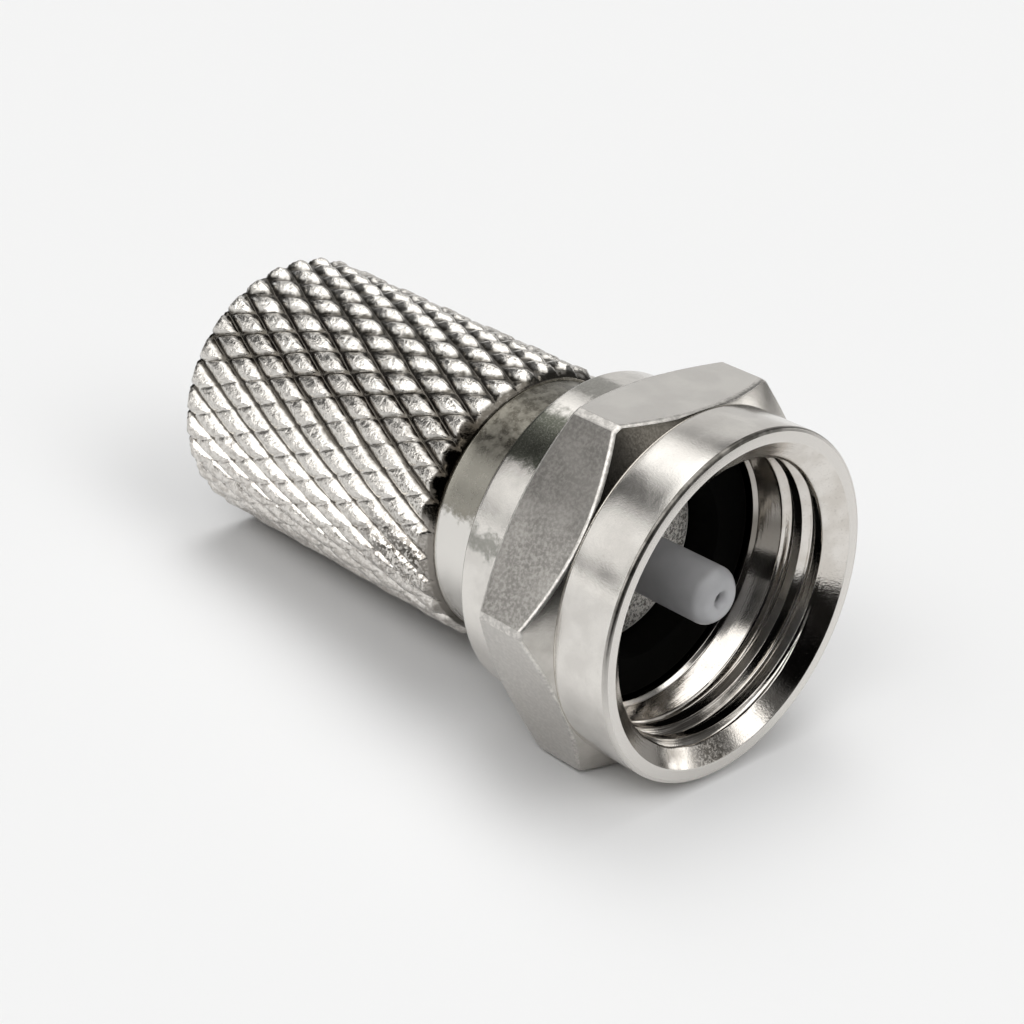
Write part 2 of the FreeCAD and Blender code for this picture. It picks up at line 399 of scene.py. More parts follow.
def nickel_inside():
    """Bright inside of the nut, with the marks of the tap and the boring tool."""
    m, n, b = material("nickel_inside", Metallic=1.0)
    v, x, y, z, r, a = axis_coords(n)
    lines = turned_lines(n, x, r, y, z, 13.0, 0.10)
    cloud = n.noise(v, 1.3, 3.0, 0.5)
    grain = n.noise(v, 15.0, 3.0, 0.6)
    col = n.mix(n.ramp(cloud, 0.35, 0.7), (0.62, 0.585, 0.54, 1), (0.74, 0.71, 0.67, 1))
    col = n.mix(n.math("MULTIPLY", n.ramp(grain, 0.56, 0.72), 0.30), col, (0.22, 0.205, 0.185, 1))
    front = n.ramp(x, -2.16, -2.08)
    # painted shade: behind the thread, the upper half of the inside is darker
    upper = n.math("MULTIPLY", n.ramp(z, -1.0, 1.0), n.math("SUBTRACT", 1.0, front))
    col = n.mix(n.math("MULTIPLY", upper, 0.55), col, (0.24, 0.226, 0.208, 1))
    # darker marks low on the bevel, along the lower thread and as flecks at the bottom of the bevel; painted shade on
    # the +y wall behind the thread
    wander = n.math("ADD", a, n.math("MULTIPLY", n.math("SUBTRACT", cloud, 0.5), 0.5))
    low = n.band(wander, math.radians(-145.0), math.radians(34.0), math.radians(8.0))
    low = n.math("MULTIPLY", low, n.ramp(x, -0.62, -0.50))
    turns = n.band(wander, math.radians(-118.0), math.radians(55.0), math.radians(16.0))
    turns = n.math("MULTIPLY", n.math("MULTIPLY", turns, front), n.ramp(x, -0.55, -0.65))
    turns = n.math("MULTIPLY", turns, n.ramp(lines, 0.44, 0.56, 1.0, 0.45))
    flecks = n.math("MULTIPLY", n.band(a, math.radians(-91.0), math.radians(8.0), math.radians(5.0)), n.ramp(x, -0.50, -0.46))
    flecks = n.math("MULTIPLY", flecks, n.ramp(n.noise(v, 12.0, 4.0, 0.70), 0.40, 0.56))
    wall = n.math("MULTIPLY", n.band(a, math.radians(-2.0), math.radians(11.0), math.radians(5.0)), n.math("SUBTRACT", 1.0, front))
    dark_marks_and_shade = n.math("MAXIMUM", n.math("MULTIPLY", low, 0.88), n.math("MULTIPLY", turns, 0.80))
    dark_marks_and_shade = n.math("MAXIMUM", dark_marks_and_shade, n.math("MAXIMUM", n.math("MULTIPLY", flecks, 0.90), n.math("MULTIPLY", wall, 0.80)))
    col = n.mix(dark_marks_and_shade, col, (0.120, 0.108, 0.092, 1))
    n.put(b, "Base Color", col)
    n.put(b, "Roughness", n.mixf(n.ramp(cloud, 0.3, 0.7), 0.06, 0.13))
    nb = n.bump(lines, n.mixf(front, 1.6e-6, 4.0e-6))
    nb = n.bump(grain, n.mixf(front, 1.3e-6, 2.6e-6), 1.0, nb)
    n.put(b, "Normal", nb)
    return m


def nickel_lip():
    m, n, b = material("nickel_lip", Metallic=1.0)
    v, x, y, z, r, a = axis_coords(n)
    lines = turned_lines(n, x, r, y, z, 30.0)
    grain = n.noise(v, 20.0, 2.0, 0.6)
    n.put(b, "Base Color", n.mix(n.ramp(grain, 0.4, 0.7), NICKEL, (0.76, 0.735, 0.70, 1)))
    n.put(b, "Roughness", 0.26)
    n.put(b, "Normal", n.bump(grain, 1.0e-6, 1.0, n.bump(lines, 5.0e-7)))
    return m


def nickel_edge():
    """Rubbed edges between the flats, a little duller than the lip."""
    m, n, b = material("nickel_edge", Metallic=1.0)
    v, x, y, z, r, a = axis_coords(n)
    grain = n.noise(v, 7.0, 3.0, 0.65)
    n.put(b, "Base Color", n.mix(n.ramp(grain, 0.38, 0.62), (0.47, 0.453, 0.428, 1), (0.68, 0.656, 0.622, 1)))
    n.put(b, "Roughness", 0.38)
    n.put(b, "Normal", n.bump(grain, 3.0e-6))
    return m


def nickel_rim():
    """Rounded edge between the collar and the lip, dark as painted shade over the top and the -y side, pale elsewhere.
    """
    m, n, b = material("nickel_rim", Metallic=1.0)
    v, x, y, z, r, a = axis_coords(n)
    cloud = n.noise(v, 2.5, 3.0, 0.6)
    col = n.mix(n.ramp(cloud, 0.35, 0.65), (0.10, 0.095, 0.085, 1), (0.24, 0.228, 0.21, 1))
    past = n.math("ADD", a, n.math("MULTIPLY", n.math("LESS_THAN", a, -math.pi / 2), 2 * math.pi))
    # painted shade: the band over the top and the -y side takes the dark colour
    painted_shade_and_sheen = n.band(past, math.radians(124.0), math.radians(56.0), math.radians(26.0))
    n.put(b, "Base Color", n.mix(painted_shade_and_sheen, (0.66, 0.635, 0.60, 1), col))
    n.put(b, "Roughness", 0.30)
    return m


def nickel_knurl():
    """Knurl: hammered, unevenly plated tops with painted sheen and painted floor reflection by height, dark dirt and
    painted shade in the grooves, painted dark reflection on the front bevel.
    """
    m, n, b = material("nickel_knurl", Metallic=1.0)
    v, x, y, z, r, a = axis_coords(n)
    blob = n.noise(v, 3.3, 2.0, 0.55, 0.4)
    blot = n.noise(v, 6.5, 4.0, 0.66, 0.5)
    fine = n.noise(v, 13.0, 3.0, 0.62)
    low = n.noise(v, 0.8, 2.0, 0.5)
    top = n.ramp(r, 4.35, 4.44)
    above = n.ramp(n.math("ADD", z, n.math("MULTIPLY", n.math("SUBTRACT", low, 0.5), 3.0)), 0.6, 2.6)
    depth = n.math("ADD", r, n.math("MULTIPLY", n.math("SUBTRACT", blob, 0.5), n.mixf(above, 0.07, 0.16)))
    crown = n.ramp(n.math("ADD", z, n.math("MULTIPLY", n.math("SUBTRACT", low, 0.5), 2.0)), 2.9, 4.0)
    bottom = n.ramp(depth, n.mixf(crown, n.mixf(above, 4.225, 4.27), 4.25), n.mixf(crown, n.mixf(above, 4.285, 4.40), 4.36), 1.0, 0.0)
    # dark dirt and painted shade at the bottoms of the grooves, wider higher up
    dirt_and_painted_shade = n.math("MULTIPLY", bottom, n.ramp(blot, 0.25, 0.50, 0.75, 1.0))
    near = n.ramp(x, -12.5, -9.2, 0.25, 1.0)
    spots = n.math("MULTIPLY", n.math("MULTIPLY", n.ramp(fine, 0.52, 0.60), n.ramp(low, 0.42, 0.58, 0.4, 1.0)), top)
    spots = n.math("MULTIPLY", spots, near)
    # pitted low down, near the front
    pitted = n.math("MULTIPLY", n.math("MULTIPLY", n.band(z, -0.9, 0.9, 0.9), n.ramp(x, -12.0, -9.8)), n.ramp(y, -1.0, -3.0))
    holes = n.noise(v, 9.0, 2.0, 0.6)
    pits = n.math("MULTIPLY", n.ramp(n.math("ADD", holes, n.math("MULTIPLY", low, 0.30)), 0.640, 0.662), pitted)
    pits = n.math("MULTIPLY", pits, n.ramp(r, 4.22, 4.28))
    # painted dark reflection on the front bevel: black over the top, grey further round
    turn = n.math("WRAP", n.math("SUBTRACT", a, math.radians(149.0)), math.pi, -math.pi)
    ragged = n.math("ADD", x, n.math("MULTIPLY", n.math("SUBTRACT", blot, 0.5), 0.12))
    bevel = n.ramp(ragged, -8.66, -8.58)
    black = n.math("MULTIPLY", n.band(turn, 0.0, math.radians(23.0), math.radians(4.0)), bevel)
    grey = n.math("MULTIPLY", n.band(turn, math.radians(47.0), math.radians(25.0), math.radians(4.0)), bevel)
    # painted sheen and reflection by height: a bright colour over the top, a darker one just below, a pale one low down
    # where the floor is mirrored
    painted_shade_and_sheen = n.mix(n.ramp(blot, 0.38, 0.60), (0.66, 0.635, 0.595, 1), (0.82, 0.795, 0.755, 1))
    darker_tone = n.mix(n.ramp(blot, 0.40, 0.60), (0.43, 0.410, 0.382, 1), (0.60, 0.576, 0.540, 1))
    darker_tone = n.mix(n.ramp(z, 3.0, 2.0), darker_tone, n.mix(n.ramp(blot, 0.36, 0.54), (0.50, 0.478, 0.448, 1), (0.72, 0.695, 0.655, 1)))
    col = n.mix(n.ramp(n.math("ADD", z, n.math("MULTIPLY", n.math("SUBTRACT", low, 0.5), 2.0)), 2.3, 3.9), darker_tone, painted_shade_and_sheen)
    col = n.mix(n.math("MULTIPLY", spots, 0.85), col, (0.10, 0.090, 0.075, 1))
    pale = n.mix(n.ramp(blot, 0.40, 0.58), (0.50, 0.470, 0.435, 1), (0.78, 0.75, 0.71, 1))
    col = n.mix(n.ramp(z, 0.6, -1.2, 0.0, 0.85), col, pale)
    col = n.mix(n.math("MULTIPLY", dirt_and_painted_shade, n.mixf(above, 0.92, 0.94)), col, (0.060, 0.052, 0.040, 1))
    col = n.mix(n.math("MULTIPLY", pits, 0.93), col, (0.050, 0.042, 0.032, 1))
    col = n.mix(n.math("MULTIPLY", grey, 0.70), col, (0.28, 0.26, 0.235, 1))
    col = n.mix(n.math("MULTIPLY", black, 0.95), col, (0.040, 0.034, 0.026, 1))
    n.put(b, "Base Color", col)
    n.put(b, "Roughness", n.math("ADD", n.math("MULTIPLY", n.ramp(blot, 0.3, 0.7), 0.07), 0.10))
    nb = n.bump(blob, n.mixf(top, 1.0e-5, 5.5e-5))
    nb = n.bump(blot, n.mixf(top, 8.0e-6, 2.8e-5), 1.0, nb)
    nb = n.bump(fine, n.mixf(top, 1.5e-6, 4.0e-6), 1.0, nb)
    n.put(b, "Normal", nb)
    return m


def nickel_neck():
    m, n, b = material("nickel_neck", Metallic=1.0)
    v, x, y, z, r, a = axis_coords(n)
    lines = turned_lines(n, x, r, y, z, 12.0)
    blot = n.noise(v, 3.2, 4.0, 0.62)
    grain = n.noise(v, 14.0, 2.0, 0.6)
    # painted dark reflection of the shoulder and the knurl above, bright below
    edge = n.math("ADD", z, n.math("MULTIPLY", n.math("SUBTRACT", blot, 0.5), 1.3))
    above = n.ramp(edge, 0.85, 1.25)
    darker_tone = n.mix(n.ramp(blot, 0.38, 0.66), (0.115, 0.106, 0.086, 1), (0.250, 0.236, 0.200, 1))
    darker_tone = n.mix(n.band(a, math.radians(150.0), math.radians(14.0), math.radians(8.0)), darker_tone, (0.33, 0.315, 0.275, 1))
    darker_tone = n.mix(n.math("MULTIPLY", n.ramp(grain, 0.54, 0.68), 0.22), darker_tone, (0.50, 0.48, 0.43, 1))
    col = n.mix(above, (0.735, 0.715, 0.68, 1), darker_tone)
    n.put(b, "Base Color", col)
    n.put(b, "Roughness", n.mixf(above, 0.22, n.mixf(n.ramp(blot, 0.3, 0.7), 0.24, 0.36)))
    nb = n.bump(lines, 8.0e-7)
    nb = n.bump(blot, n.mixf(above, 6.0e-7, 3.0e-6), 1.0, nb)
    nb = n.bump(grain, 1.2e-6, 1.0, nb)
    n.put(b, "Normal", nb)
    return m


def nickel_bore():
    """Inside of the sleeve: turned, threaded, less bright."""
    m, n, b = material("nickel_bore", Metallic=1.0)
    v, x, y, z, r, a = axis_coords(n)
    lines = turned_lines(n, x, r, y, z, 9.0)
    blot = n.noise(v, 3.0, 4.0, 0.6)
    n.put(b, "Base Color", n.mix(n.ramp(blot, 0.35, 0.65), (0.44, 0.41, 0.37, 1), (0.62, 0.595, 0.555, 1)))
    n.put(b, "Roughness", 0.27)
    n.put(b, "Normal", n.bump(lines, 1.0e-6))
    return m


def ferrule_grain():
    m, n, b = material("ferrule_grain", Metallic=0.30)
    v, x, y, z, r, a = axis_coords(n)
    grain = n.noise(v, 11.0, 3.0, 0.7)
    fine = n.noise(v, 26.0, 2.0, 0.6)
    # painted highlight: the rim round the disc takes a brighter, even colour
    rim = n.ramp(r, 2.74, 2.78)
    col = n.mix(n.ramp(grain, 0.42, 0.56), (0.26, 0.24, 0.21, 1), (0.98, 0.945, 0.89, 1))
    col = n.mix(rim, col, (0.94, 0.91, 0.86, 1))
    n.put(b, "Base Color", col)
    n.put(b, "Roughness", 0.52)
    nb = n.bump(grain, n.mixf(rim, 1.6e-5, 4.0e-6))
    nb = n.bump(fine, 3.0e-6, 1.0, nb)
    n.put(b, "Normal", nb)
    return m


def rubber():
    m, n, b = material("rubber_black", Metallic=0.0)
    v, x, y, z, r, a = axis_coords(n)
    grain = n.noise(v, 8.0, 4.0, 0.6)
    n.put(b, "Base Color", n.mix(grain, (0.0014, 0.0014, 0.0012, 1), (0.0036, 0.0035, 0.0031, 1)))
    n.put(b, "Roughness", n.mixf(grain, 0.62, 0.80))
    b.inputs["Specular IOR Level"].default_value = 0.06
    n.put(b, "Normal", n.bump(grain, 5.0e-6))
    return m


def plastic():
    m, n, b = material("guide_grey", Metallic=0.0)
    v, x, y, z, r, a = axis_coords(n)
    cloud = n.noise(v, 1.2, 3.0, 0.5)
    grain = n.noise(v, 14.0, 3.0, 0.6)
    col = n.mix(n.ramp(cloud, 0.3, 0.7), (0.385, 0.385, 0.393, 1), (0.435, 0.435, 0.444, 1))
    n.put(b, "Base Color", col)
    n.put(b, "Roughness", n.mixf(grain, 0.36, 0.46))
    b.inputs["Subsurface Weight"].default_value = 0.12
    b.inputs["Subsurface Radius"].default_value = (0.4, 0.4, 0.42)
    b.inputs["Subsurface Scale"].default_value = 0.0004
    n.put(b, "Normal", n.bump(grain, 1.6e-6))
    return m


M_TURNED, M_FLAT, M_CONE = nickel_turned(), nickel_flat(), nickel_cone()
M_INSIDE, M_LIP, M_EDGE, M_RIM = nickel_inside(), nickel_lip(), nickel_edge(), nickel_rim()
M_KNURL, M_NECK, M_BORE = nickel_knurl(), nickel_neck(), nickel_bore()
M_FERRULE, M_RUBBER, M_PLASTIC = ferrule_grain(), rubber(), plastic()

# ------------------------------------------------------------------ helical rows


def helix_patch(x_lo, x_hi, pitch, at, profile, angles, x_of_zero):
    """Rows that follow a screw thread, held between x_lo and x_hi, where they
    gather into plain rings. at: places within one pitch. profile(x, s) gives the
    radius from x and the place s in the pitch. Columns run once round, first
    and last included."""
    k = len(at)
    turns_lo = int(math.floor((x_lo - x_of_zero) / pitch)) - 2
    turns_hi = int(math.ceil((x_hi - x_of_zero) / pitch)) + 2
    pos = np.concatenate([x_of_zero + t * pitch + np.asarray(at) for t in range(turns_lo, turns_hi)])
    x = pos[:, None] + pitch * angles[None, :] / (2 * math.pi)
    x = np.clip(x, x_lo, x_hi)
    s = (x - x_of_zero - pitch * angles[None, :] / (2 * math.pi)) % pitch
    r = profile(x, s)
    keep = [i for i in range(len(pos))
            if not (np.all(x[i] <= x_lo + 1e-9) and i + 1 < len(pos) and np.all(x[i + 1] <= x_lo + 1e-9))
            and not (np.all(x[i] >= x_hi - 1e-9) and i > 0 and np.all(x[i - 1] >= x_hi - 1e-9))]
    return ring_points(x[keep], r[keep], angles[None, :])


# ------------------------------------------------------------------ coupling nut
LIP_R, AF2, HEX_R = 5.47, 5.50, 6.28
HEX_FRONT, HEX_REAR = -1.95, -4.50
THREAD_R, THREAD_ROOT, PITCH = 4.38, 4.61, 0.79375
THREAD_PHASE = -1.060
BEVEL_IN, BEVEL_SLOPE = -0.50, (5.04 - 4.38) / 0.50
PATCH_REAR, PATCH_FRONT = -2.10, -0.012


def relief_cone(x):
    """Run-out behind the thread: deep next to it, narrowing to the ridge."""
    return 4.385 + (x + 2.97) * 0.60


def nut_columns():
    half = math.degrees(math.acos(AF2 / HEX_R))
    edge = [half - 1.3, half - 0.55, half - 0.28, half - 0.13, half, half + 0.13, half + 0.28, half + 0.6]
    inner = np.linspace(-(half - 2.6), half - 2.6, 35).tolist()
    one = sorted([-e for e in edge] + inner + edge + [30.0])
    cols = []
    for k in range(6):
        cols += [30.0 + 60.0 * k + p for p in one]
    cols = np.array(sorted(c % 360.0 for c in cols))
    return np.radians(cols)


def nut():
    a = nut_columns()
    fold = (np.degrees(a) - 30.0 + 30.0) % 60.0 - 30.0     # from the nearest flat's middle
    flat = AF2 / np.cos(np.radians(fold))
    soft = 0.010
    h = np.clip(0.5 + 0.5 * (HEX_R - flat) / soft, 0, 1)
    hexr = HEX_R * (1 - h) + flat * h - soft * h * (1 - h)
    up = hexr - LIP_R
    xf, xb = HEX_FRONT - 0.70 * up, HEX_REAR + 0.52 * up
    outer = [(PATCH_FRONT, THREAD_R + (PATCH_FRONT - BEVEL_IN) * BEVEL_SLOPE, 0), (0.0, 5.045, 0.02),
             (0.0, 5.47, 0.12), (HEX_FRONT + 0.05, LIP_R, 0.02),
             (HEX_FRONT + 0.03, LIP_R - 0.035, 0.01), (HEX_FRONT, LIP_R - 0.035, 0.01),
             (HEX_FRONT, LIP_R, 0.012), (xf, hexr, 0.09), (xb, hexr, 0.05), (HEX_REAR, LIP_R, 0.03),
             (HEX_REAR, 5.12, 0.03), (-6.00, 5.12, 0.06), (-6.20, 4.92, 0.06), (-6.20, 3.68, 0.04),
             (-5.30, 3.68, 0.04), (-5.30, 4.36, 0.03), (-3.29, 4.36, 0.02), (-3.25, 4.285, 0.015),
             (-3.11, 4.285, 0.015), (-3.03, 4.395, 0.01), (-3.005, 4.42, 0.012), (-2.97, 4.385, 0.01),
             (-2.17, relief_cone(-2.17), 0.04), (PATCH_REAR, THREAD_R, 0)]
    rows, tags = rounded(outer, 5)
    mat_of = {0: 3, 1: 1, 2: 0, 3: 0, 4: 0, 5: 0, 6: 4, 7: 2, 8: 4, 9: 4, 10: 0}
    pts, mats = [], []
    for k, row in enumerate(rows):
        if k:
            t0, t1 = tags[k - 1], tags[k]
            straight = t0 != t1
            t = t0
            if (t0, t1) == (2, 2):
                mat = 6
            elif t1 <= 2:
                mat = 1
            elif (t0, t1) == (0, 1):
                mat = 3
            elif t <= 5:
                mat = 0
            elif (t0, t1) == (6, 7) or (t0, t1) == (6, 6) or (t0, t1) == (5, 6):
                mat = 4
            elif (t0, t1) == (7, 8):
                mat = 2
            elif t0 == 7 or t1 == 8:
                mat = 5
            elif t0 in (8, 9):
                mat = 4
            elif t0 <= 13:
                mat = 0
            else:
                mat = 3
            parts = 1
            if straight:
                far = float(np.linalg.norm(rows[k] - rows[k - 1], axis=1).max())
                parts = max(1, min(6, int(far / 0.35)))
            for q in range(1, parts + 1):
                t = q / parts
                pts.append(rows[k - 1] * (1 - t) + row * t)
                mats.append(mat)
        else:
            pts.append(row)
    grid = np.stack([ring_points(np.broadcast_to(p[:, 0], a.shape), np.broadcast_to(p[:, 1], a.shape), a) for p in pts])
    mats = np.repeat(np.array(mats)[:, None], len(a), 1)
    # the narrow turned strips between two flats take the edge finish
    strip = np.abs(fold) > math.degrees(math.acos(AF2 / HEX_R)) - 0.01
    mats = np.where((mats == 2) & (strip | np.roll(strip, -1))[None, :], 5, mats)
    b = Builder()
    b.grid(grid, mats)

    def profile(x, s):
        s = np.minimum(s, PITCH - s)                       # from a groove's middle
        depth = np.clip((0.245 - s) / 0.215, 0, 1)
        # the groove fades in on the bevel and runs out at the relief's edge
        depth = depth * smooth01((-0.34 - x) / 0.22) * smooth01((x - PATCH_REAR) / 0.17)
        groove = THREAD_R + (THREAD_ROOT - THREAD_R) * depth
        bevel = THREAD_R + (x - BEVEL_IN) * BEVEL_SLOPE
        return np.maximum(groove, bevel)

    half = [0.0, 0.02, 0.032, 0.06, 0.10, 0.14, 0.18, 0.22, 0.238, 0.248, 0.27, 0.32]
    at = sorted(set([round(h, 6) for h in half] + [round(PITCH - h, 6) for h in half if h] + [round(PITCH / 2, 6)]))
    closed = np.concatenate([a, a[:1] + 2 * math.pi])
    patch = helix_patch(PATCH_REAR, PATCH_FRONT, PITCH, at, profile, closed, THREAD_PHASE)
    # the patch's two end rings are the outer grid's last and first rows
    b.grid(patch, 3, wrap=False)
    return piece("nut_coupling", b.mesh("nut_coupling"), [M_TURNED, M_LIP, M_FLAT, M_INSIDE, M_CONE, M_EDGE, M_RIM],
                 "nut", "coupling_nut")


nut_ob = nut()

# ------------------------------------------------------------------ knurled sleeve
CREST, ROOT = 4.50, 4.20
S_FRONT, S_REAR = -8.26, -19.80
ANCHOR, HALF_PITCH = -19.60, 0.98636
PHASE = 0.0
SUB = 9


def knurl_height(u, v, cross, wide, dome):
    """u, v in half steps round and along. One set of grooves is deep, narrow to
    broad as wide says, the other, laid over it, narrower and as deep as cross
    says, or gently rounded as dome says. 0 at the bottom, 1 on the tops."""
    dp = np.abs(np.mod(u + v, 2.0) - 1.0)
    dq = np.abs(np.mod(u - v, 2.0) - 1.0)
    deep = np.clip((dq - 0.015 - 0.02 * wide) / (0.94 - 0.28 * wide), 0, 1)
    deep = 1 - (1 - deep) ** (2.1 - 0.3 * wide)
    fine = np.clip((dp - 0.02) / 0.90, 0, 1)
    # where the second set is shallow it marks one side of each ridge only
    across = np.mod(u - v - 1.0, 2.0)
    cross = cross * (1 - 0.60 * (1 - wide) * (1 - smooth01((across - 0.30) / 0.40)))
    share, reach = 0.60 - 0.15 * wide, 0.16 + 0.08 * wide
    fine = share * np.clip(fine / reach, 0, 1) + (1 - share) * (1 - (1 - fine) ** 1.7)
    fine = fine * (1 - dome) + dome * (0.5 - 0.5 * np.cos(math.pi * dp))
    return deep * (1 - cross + cross * fine)


def soft_table(seed, u, v, per):
    """Smooth noise on the (u, v) lattice, per samples to a half step, that closes round the sleeve."""
    nu = int(60 * per)
    nv = 4096
    tab = np.random.RandomState(seed).uniform(-1, 1, (nu, 512))
    x, y = u * per, v * per + nv
    i, j = np.floor(x).astype(int), np.floor(y).astype(int)
    fx, fy = smooth01(x - i), smooth01(y - j)
    a, b = tab[i % nu, j % 512], tab[(i + 1) % nu, j % 512]
    c, d = tab[i % nu, (j + 1) % 512], tab[(i + 1) % nu, (j + 1) % 512]
    return (a * (1 - fx) + b * fx) * (1 - fy) + (c * (1 - fx) + d * fx) * fy


def sleeve():
    steps = 60 * SUB
    a = np.radians(-90.0 + PHASE + np.arange(steps) * 360.0 / steps)
    dv = 1.0 / SUB
    k_lo = int(math.ceil((S_REAR + 0.03 - ANCHOR) / HALF_PITCH * SUB))
    k_hi = int(math.floor((S_FRONT - 0.03 - ANCHOR) / HALF_PITCH * SUB))
    vs = [k * dv for k in range(k_hi, k_lo - 1, -1)]
    vs = [(S_FRONT - ANCHOR) / HALF_PITCH] + vs + [(S_REAR - ANCHOR) / HALF_PITCH]
    vs = np.array(vs)
    x = ANCHOR + vs * HALF_PITCH
    u = np.arange(steps) / SUB
    U, V = np.meshgrid(u, vs)
    X = np.repeat(x[:, None], steps, 1)
    # the grooves wander a little, and each diamond is a little off in height
    wu = U + 0.05 * soft_table(11, U, V, 1)
    wv = V + 0.03 * soft_table(12, U, V, 1)
    # the second set was rolled in deeper on one side
    side = smooth01((ROOT * np.sin(a)[None, :] - 1.7 + 0.35 * soft_table(13, U, V, 0.25)) / 1.2)
    dome = smooth01((ROOT * np.sin(a)[None, :] - 2.7 + 0.4 * soft_table(14, U, V, 0.25)) / 1.3)
    f = knurl_height(wu, wv, 0.44 + 0.32 * side, side, dome)
    iu = np.round((U + V) / 2).astype(int)
    iv = np.round((U - V) / 2).astype(int)
    hn = cell_noise(7, (97, 97))[iu % 97, iv % 97]
    rough = 0.6 * soft_table(21, U, V, 3) + 0.4 * soft_table(22, U, V, 4)
    R = ROOT + (CREST - 0.010 - ROOT) * f * (1 + 0.035 * (hn - 1.0))
    R = R + 0.010 * (rough - 0.6) * smooth01(f * 1.6)
    R = np.minimum(R, CREST)
    cone_f = CREST + 0.02 - 0.42 + (S_FRONT - X) * 1.0
    cone_r = CREST - 0.20 + (X - S_REAR) * 1.0
    R = np.minimum(np.minimum(R, cone_f), cone_r)
    b = Builder()
    # triangles split along the grooves, so that their bottoms stay straight
    P = ring_points(X, R, a[None, :])
    start = b.add(P)
    rows = len(vs)
    idx = start + np.arange(rows * steps).reshape(rows, steps)
    nx = np.roll(idx, -1, 1)
    uc = (np.arange(steps) + 0.5) / SUB
    vc = 0.5 * (vs[:-1] + vs[1:])
    UC, VC = np.meshgrid(uc, vc)
    par = (np.floor(UC) + np.floor(VC)).astype(int) % 2
    ia, ib, ic, idd = idx[:-1], nx[:-1], nx[1:], idx[1:]
    # rows run towards -x, so v falls from row to row
    t1 = np.where(par[..., None] == 0, np.stack([ia, ib, ic], -1), np.stack([ia, ib, idd], -1))
    t2 = np.where(par[..., None] == 0, np.stack([ia, ic, idd], -1), np.stack([ib, ic, idd], -1))
    tris = np.concatenate([t1.reshape(-1, 3), t2.reshape(-1, 3)])
    b.f += [tuple(t) for t in tris.tolist()]
    b.m += [0] * len(tris)
    # neck and journal, in the same columns
    front = [(S_FRONT, CREST + 0.02 - 0.42, 0), (S_FRONT, 4.05, 0.02), (-6.40, 4.05, 0.05), (-6.30, 3.95, 0.04),
             (-6.30, 3.60, 0.02), (-5.28, 3.60, 0.03), (-5.20, 3.52, 0.03), (-5.20, 2.90, 0)]
    rows_f, _ = rounded(front[::1], 3)
    lines = [(r[0, 0], r[0, 1]) for r in rows_f]
    full = [lines[0]]
    for k in range(1, len(lines)):
        (x0, r0), (x1, r1) = lines[k - 1], lines[k]
        parts = max(1, min(5, int(math.hypot(x1 - x0, r1 - r0) / 0.35)))
        full += [(x0 + (x1 - x0) * q / parts, r0 + (r1 - r0) * q / parts) for q in range(1, parts + 1)]
    full = np.array(full)[::-1]                           # from the front face back to the knurl
    pn = ring_points(full[:, 0:1], full[:, 1:2], a[None, :])
    b.grid(pn, 1)
    # rear face: outer columns to half as many inside
    inner = a[::2]
    closed = np.concatenate([inner, inner[:1] + 2 * math.pi])
    r_out = CREST - 0.20
    mouth = [(S_REAR, r_out, 0), (S_REAR, 3.66, 0.06), (S_REAR + 0.22, 3.42, 0)]
    o1 = b.add(ring_points(np.full(steps, S_REAR), R[-1], a))
    r_mid = 4.0
    o2 = b.add(ring_points(np.array(S_REAR), np.array(r_mid), inner))
    n2 = len(inner)
    for i in range(n2):
        j = (i + 1) % n2
        q0, q1, q2 = o1 + 2 * i, o1 + 2 * i + 1, o1 + (2 * i + 2) % steps
        b.f += [(q0, q1, o2 + i), (q1, o2 + j, o2 + i), (q1, q2, o2 + j)]
        b.m += [1, 1, 1]
    rows_m, _ = rounded([(S_REAR, r_mid, 0), (S_REAR, 3.66, 0.06), (S_REAR + 0.20, 3.46, 0)], 4)
    pm = np.stack([ring_points(np.array(p[0, 0]), np.array(p[0, 1]), inner) for p in rows_m])
    b.grid(pm, 1)
    # coarse biting thread for the cable
    bp, root, crest = 1.05, 3.62, 3.405

    def bite(x, s):
        s = np.minimum(s, bp - s)
        g = np.clip((0.40 - s) / 0.30, 0, 1)
        g = g * g * (3 - 2 * g)
        r = crest + (root - crest) * g
        fade = smooth01((-10.75 - x) / 0.7) * smooth01((x + 19.62) / 0.5)
        r = crest + (r - crest) * fade
        return np.maximum(r, 3.46 - (x - (S_REAR + 0.20)) * 1.0)

    at = [0.0, 0.10, 0.22, 0.36, 0.525, 0.69, 0.83, 0.95]
    patch = helix_patch(S_REAR + 0.20, -10.32, bp, at, bite, closed, -15.0)
    b.grid(patch, 2, wrap=False)
    back = [(-10.32, 3.405, 0), (-10.30, 3.38, 0), (-10.30, 2.90, 0.0)]
    back += [(-10.30 + (5.10) * q / 8, 2.90, 0) for q in range(1, 9)]
    pb = np.stack([ring_points(np.array(p[0]), np.array(p[1]), inner) for p in back])
    b.grid(pb, 2)
    # front face's inner edge: half as many columns back to all of them
    i1 = b.add(ring_points(np.array(-5.20), np.array(2.90), inner))
    i2 = b.add(ring_points(np.array(-5.20), np.array(2.90), a))
    for i in range(n2):
        q0, q1, q2 = i2 + 2 * i, i2 + 2 * i + 1, i2 + (2 * i + 2) % steps
        b.f += [(i1 + i, i1 + (i + 1) % n2, q1)]
        b.m += [2]
    return piece("sleeve_knurled", b.mesh("sleeve_knurled"), [M_KNURL, M_NECK, M_BORE],
                 "plug", "knurled_sleeve", weighted=False)


sleeve_ob = sleeve()

